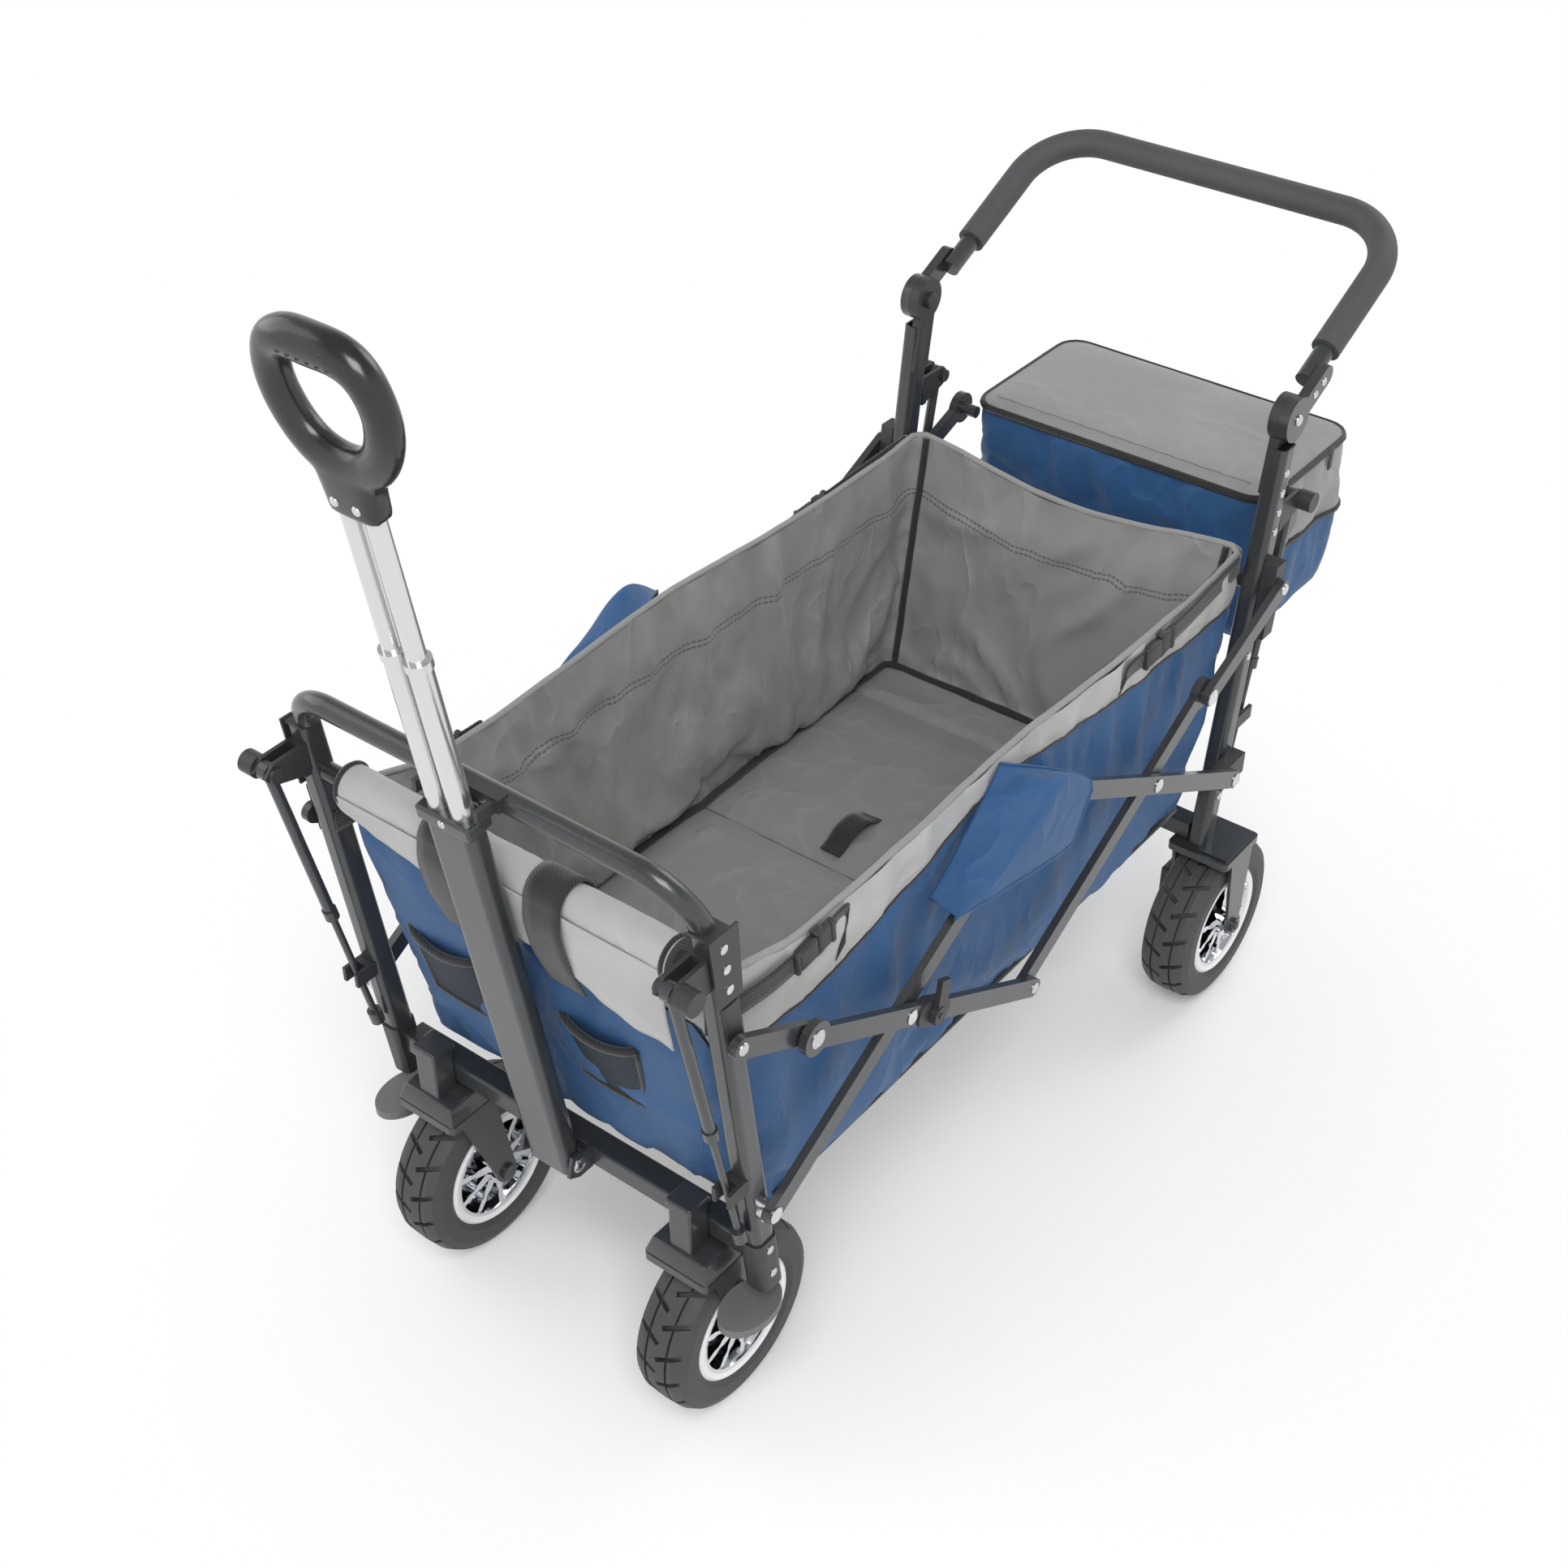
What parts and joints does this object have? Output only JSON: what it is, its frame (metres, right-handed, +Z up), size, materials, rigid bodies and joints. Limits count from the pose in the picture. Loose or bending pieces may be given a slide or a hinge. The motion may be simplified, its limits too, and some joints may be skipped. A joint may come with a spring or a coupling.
{
  "type": "folding wagon with pull handle",
  "caption": "Folding fabric wagon on caster and fixed wheels with a telescopic pull handle, tilting push bar, scissor side frame, canopy poles and rear bag",
  "frame": {"origin": "centre of the footprint on the ground, at the middle of the bounding box", "axes": "+X across its width, to the side that is at the right when seen from the pull handle; +Y along its length, from the pull handle to the push bar; +Z up"},
  "size_m": [0.5618, 1.3284, 1.1548],
  "materials": {
    "frame_paint": "satin charcoal powder coat",
    "silver_rivets": "plated steel",
    "polished_tube": "bright anodised",
    "black_plastic": "moulded, fine grain",
    "black_gloss": "moulded, semi gloss",
    "tyre_rubber": "ribbed solid tyre",
    "chrome_rim": "chromed plastic",
    "grey_cloth": "coated woven nylon",
    "blue_cloth": "coated woven nylon",
    "black_webbing": "woven webbing and binding",
    "foam_grip": "closed cell foam"
  },
  "bodies": {
    "front_frame": {"front_posts": "frame_paint", "front_crossbars": "frame_paint", "caster_sockets": "frame_paint", "front_bumper_bar": "frame_paint", "front_post_fittings": "black_plastic", "front_rivets": "silver_rivets", "handle_hinge_bracket": "frame_paint", "handle_clip": "black_plastic", "front_pole_brackets": "black_plastic", "tub_shell": "grey_cloth", "floor_mat": "grey_cloth", "tub_trim": "black_webbing", "side_flaps": "blue_cloth", "side_buckles": "black_plastic"},
    "fold_bars_a": {"scissor_bars_a": "frame_paint", "pivot_rivets_a": "silver_rivets"},
    "fold_bars_b": {"scissor_bars_b": "frame_paint", "pivot_rivets_b": "silver_rivets", "bar_collars": "black_plastic"},
    "fold_bars_c": {"scissor_bars_c": "frame_paint", "pivot_rivets_c": "silver_rivets"},
    "fold_bars_d": {"scissor_bars_d": "frame_paint"},
    "front_link": {"front_elbow_links": "frame_paint"},
    "rear_link": {"rear_elbow_links": "frame_paint"},
    "latch_left": {"side_latch_left": "black_plastic"},
    "latch_right": {"side_latch_right": "black_plastic"},
    "rear_frame": {"rear_frame_tubes": "frame_paint", "rear_forks": "frame_paint", "rear_fittings": "black_plastic", "rear_rivets": "silver_rivets", "push_hubs": "black_plastic", "bag_arms": "frame_paint", "rear_pole_brackets": "black_plastic", "bag_body": "blue_cloth", "bag_zip": "black_webbing"},
    "push_handle": {"push_bar": "frame_paint", "push_bar_grip": "foam_grip"},
    "button_left": {"push_button_left": "black_plastic"},
    "button_right": {"push_button_right": "black_plastic"},
    "lid": {"bag_lid": "grey_cloth"},
    "pull_sheath": {"handle_sheath": "frame_paint"},
    "pull_lower": {"handle_tubes_lower": "polished_tube"},
    "pull_upper": {"handle_tubes_upper": "polished_tube", "handle_grip": "black_gloss"},
    "caster_left": {"caster_fork_left": "frame_paint"},
    "pedal_left": {"brake_pedal_left": "black_plastic"},
    "front_wheel_left": {"front_tyre_left": "tyre_rubber", "front_rim_left": "chrome_rim"},
    "rear_wheel_left": {"rear_tyre_left": "tyre_rubber", "rear_rim_left": "chrome_rim"},
    "front_canopy_pole_left": {"front_pole_left": "frame_paint"},
    "rear_canopy_pole_left": {"rear_pole_left": "frame_paint"},
    "caster_right": {"caster_fork_right": "frame_paint"},
    "pedal_right": {"brake_pedal_right": "black_plastic"},
    "front_wheel_right": {"front_tyre_right": "tyre_rubber", "front_rim_right": "chrome_rim"},
    "rear_wheel_right": {"rear_tyre_right": "tyre_rubber", "rear_rim_right": "chrome_rim"},
    "front_canopy_pole_right": {"front_pole_right": "frame_paint"},
    "rear_canopy_pole_right": {"rear_pole_right": "frame_paint"}
  },
  "joints": [
    {"name": "frame_fold", "type": "hinge", "parent": "front_frame", "child": "fold_bars_a", "pos_m": [0, -0.47971, 0.32], "axis": [1, 0, 0], "range_deg": [0, 43.3], "deforming": ["tub_shell", "floor_mat", "side_flaps", "side_buckles"]},
    {"name": "fold_b", "type": "hinge", "parent": "fold_bars_a", "child": "fold_bars_b", "pos_m": [0, -0.29471, 0.424], "axis": [1, 0, 0], "range_deg": [-87, 0]},
    {"name": "fold_c", "type": "hinge", "parent": "fold_bars_b", "child": "fold_bars_c", "pos_m": [0, -0.07971, 0.303], "axis": [1, 0, 0], "range_deg": [0, 87]},
    {"name": "fold_d", "type": "hinge", "parent": "fold_bars_c", "child": "fold_bars_d", "pos_m": [0, 0.13529, 0.424], "axis": [1, 0, 0], "range_deg": [-87, 0]},
    {"name": "fold_rear", "type": "hinge", "parent": "fold_bars_d", "child": "rear_frame", "pos_m": [0, 0.32029, 0.32], "axis": [1, 0, 0], "range_deg": [0, 43.5]},
    {"name": "front_link_fold", "type": "hinge", "parent": "fold_bars_b", "child": "front_link", "pos_m": [0, -0.43471, 0.5028], "axis": [1, 0, 0], "range_deg": [0, 128]},
    {"name": "rear_link_fold", "type": "hinge", "parent": "fold_bars_c", "child": "rear_link", "pos_m": [0, 0.23229, 0.4786], "axis": [1, 0, 0], "range_deg": [-128, 0]},
    {"name": "latch_turn_left", "type": "hinge", "parent": "fold_bars_b", "child": "latch_left", "pos_m": [0, -0.26159, 0.40536], "axis": [1, 0, 0], "range_deg": [0, 50]},
    {"name": "caster_swivel_left", "type": "hinge", "parent": "front_frame", "child": "caster_left", "pos_m": [-0.16, -0.49071, 0.24], "axis": [0, 0, 1], "continuous": true},
    {"name": "front_wheel_spin_left", "type": "hinge", "parent": "caster_left", "child": "front_wheel_left", "pos_m": [-0.16, -0.44671, 0.1], "axis": [1, 0, 0], "continuous": true},
    {"name": "rear_wheel_spin_left", "type": "hinge", "parent": "rear_frame", "child": "rear_wheel_left", "pos_m": [-0.236, 0.34629, 0.1], "axis": [1, 0, 0], "continuous": true},
    {"name": "brake_press_left", "type": "hinge", "parent": "caster_left", "child": "pedal_left", "pos_m": [-0.205, -0.46471, 0.168], "axis": [1, 0, 0], "range_deg": [0, 12]},
    {"name": "push_button_press_left", "type": "slide", "parent": "rear_frame", "child": "button_left", "axis": [-1, 0, 0], "range_m": [0, 0.0025], "stiffness_N_per_m": 400, "springref_m": -0.003},
    {"name": "front_pole_swing_left", "type": "hinge", "parent": "front_frame", "child": "front_canopy_pole_left", "pos_m": [-0.227, -0.57671, 0.64], "axis": [1, 0, 0], "range_deg": [-180, 0]},
    {"name": "rear_pole_swing_left", "type": "hinge", "parent": "rear_frame", "child": "rear_canopy_pole_left", "pos_m": [-0.227, 0.43229, 0.612], "axis": [1, 0, 0], "range_deg": [0, 145]},
    {"name": "latch_turn_right", "type": "hinge", "parent": "fold_bars_b", "child": "latch_right", "pos_m": [0, -0.26159, 0.40536], "axis": [1, 0, 0], "range_deg": [0, 50]},
    {"name": "caster_swivel_right", "type": "hinge", "parent": "front_frame", "child": "caster_right", "pos_m": [0.16, -0.49071, 0.24], "axis": [0, 0, 1], "continuous": true},
    {"name": "front_wheel_spin_right", "type": "hinge", "parent": "caster_right", "child": "front_wheel_right", "pos_m": [0.16, -0.44671, 0.1], "axis": [1, 0, 0], "continuous": true},
    {"name": "rear_wheel_spin_right", "type": "hinge", "parent": "rear_frame", "child": "rear_wheel_right", "pos_m": [0.236, 0.34629, 0.1], "axis": [1, 0, 0], "continuous": true},
    {"name": "brake_press_right", "type": "hinge", "parent": "caster_right", "child": "pedal_right", "pos_m": [0.205, -0.46471, 0.168], "axis": [1, 0, 0], "range_deg": [0, 12]},
    {"name": "push_button_press_right", "type": "slide", "parent": "rear_frame", "child": "button_right", "axis": [1, 0, 0], "range_m": [0, 0.0025], "stiffness_N_per_m": 400, "springref_m": -0.003},
    {"name": "front_pole_swing_right", "type": "hinge", "parent": "front_frame", "child": "front_canopy_pole_right", "pos_m": [0.227, -0.57671, 0.64], "axis": [1, 0, 0], "range_deg": [-180, 0]},
    {"name": "rear_pole_swing_right", "type": "hinge", "parent": "rear_frame", "child": "rear_canopy_pole_right", "pos_m": [0.227, 0.43229, 0.612], "axis": [1, 0, 0], "range_deg": [0, 145]},
    {"name": "push_bar_tilt", "type": "hinge", "parent": "rear_frame", "child": "push_handle", "pos_m": [0, 0.39429, 0.72], "axis": [1, 0, 0], "range_deg": [-10, 110]},
    {"name": "lid_open", "type": "hinge", "parent": "rear_frame", "child": "lid", "pos_m": [0, 0.45229, 0.5776], "axis": [1, 0, 0], "range_deg": [0, 110]},
    {"name": "handle_tilt", "type": "hinge", "parent": "front_frame", "child": "pull_sheath", "pos_m": [0, -0.49571, 0.252], "axis": [1, 0, 0], "range_deg": [0, 75]},
    {"name": "handle_slide_lower", "type": "slide", "parent": "pull_sheath", "child": "pull_lower", "axis": [0, 0.1702, -0.9854], "range_m": [0, 0.155]},
    {"name": "handle_slide_upper", "type": "slide", "parent": "pull_lower", "child": "pull_upper", "axis": [0, 0.1702, -0.9854], "range_m": [0, 0.12]}
  ],
  "couplings": [
    {"joint": "fold_b", "follows": "frame_fold", "ratio": -2},
    {"joint": "fold_c", "follows": "frame_fold", "ratio": 2},
    {"joint": "fold_d", "follows": "frame_fold", "ratio": -2},
    {"joint": "fold_rear", "follows": "frame_fold", "ratio": 1},
    {"joint": "front_link_fold", "follows": "frame_fold", "ratio": 2.926},
    {"joint": "rear_link_fold", "follows": "frame_fold", "ratio": -2.942}
  ]
}
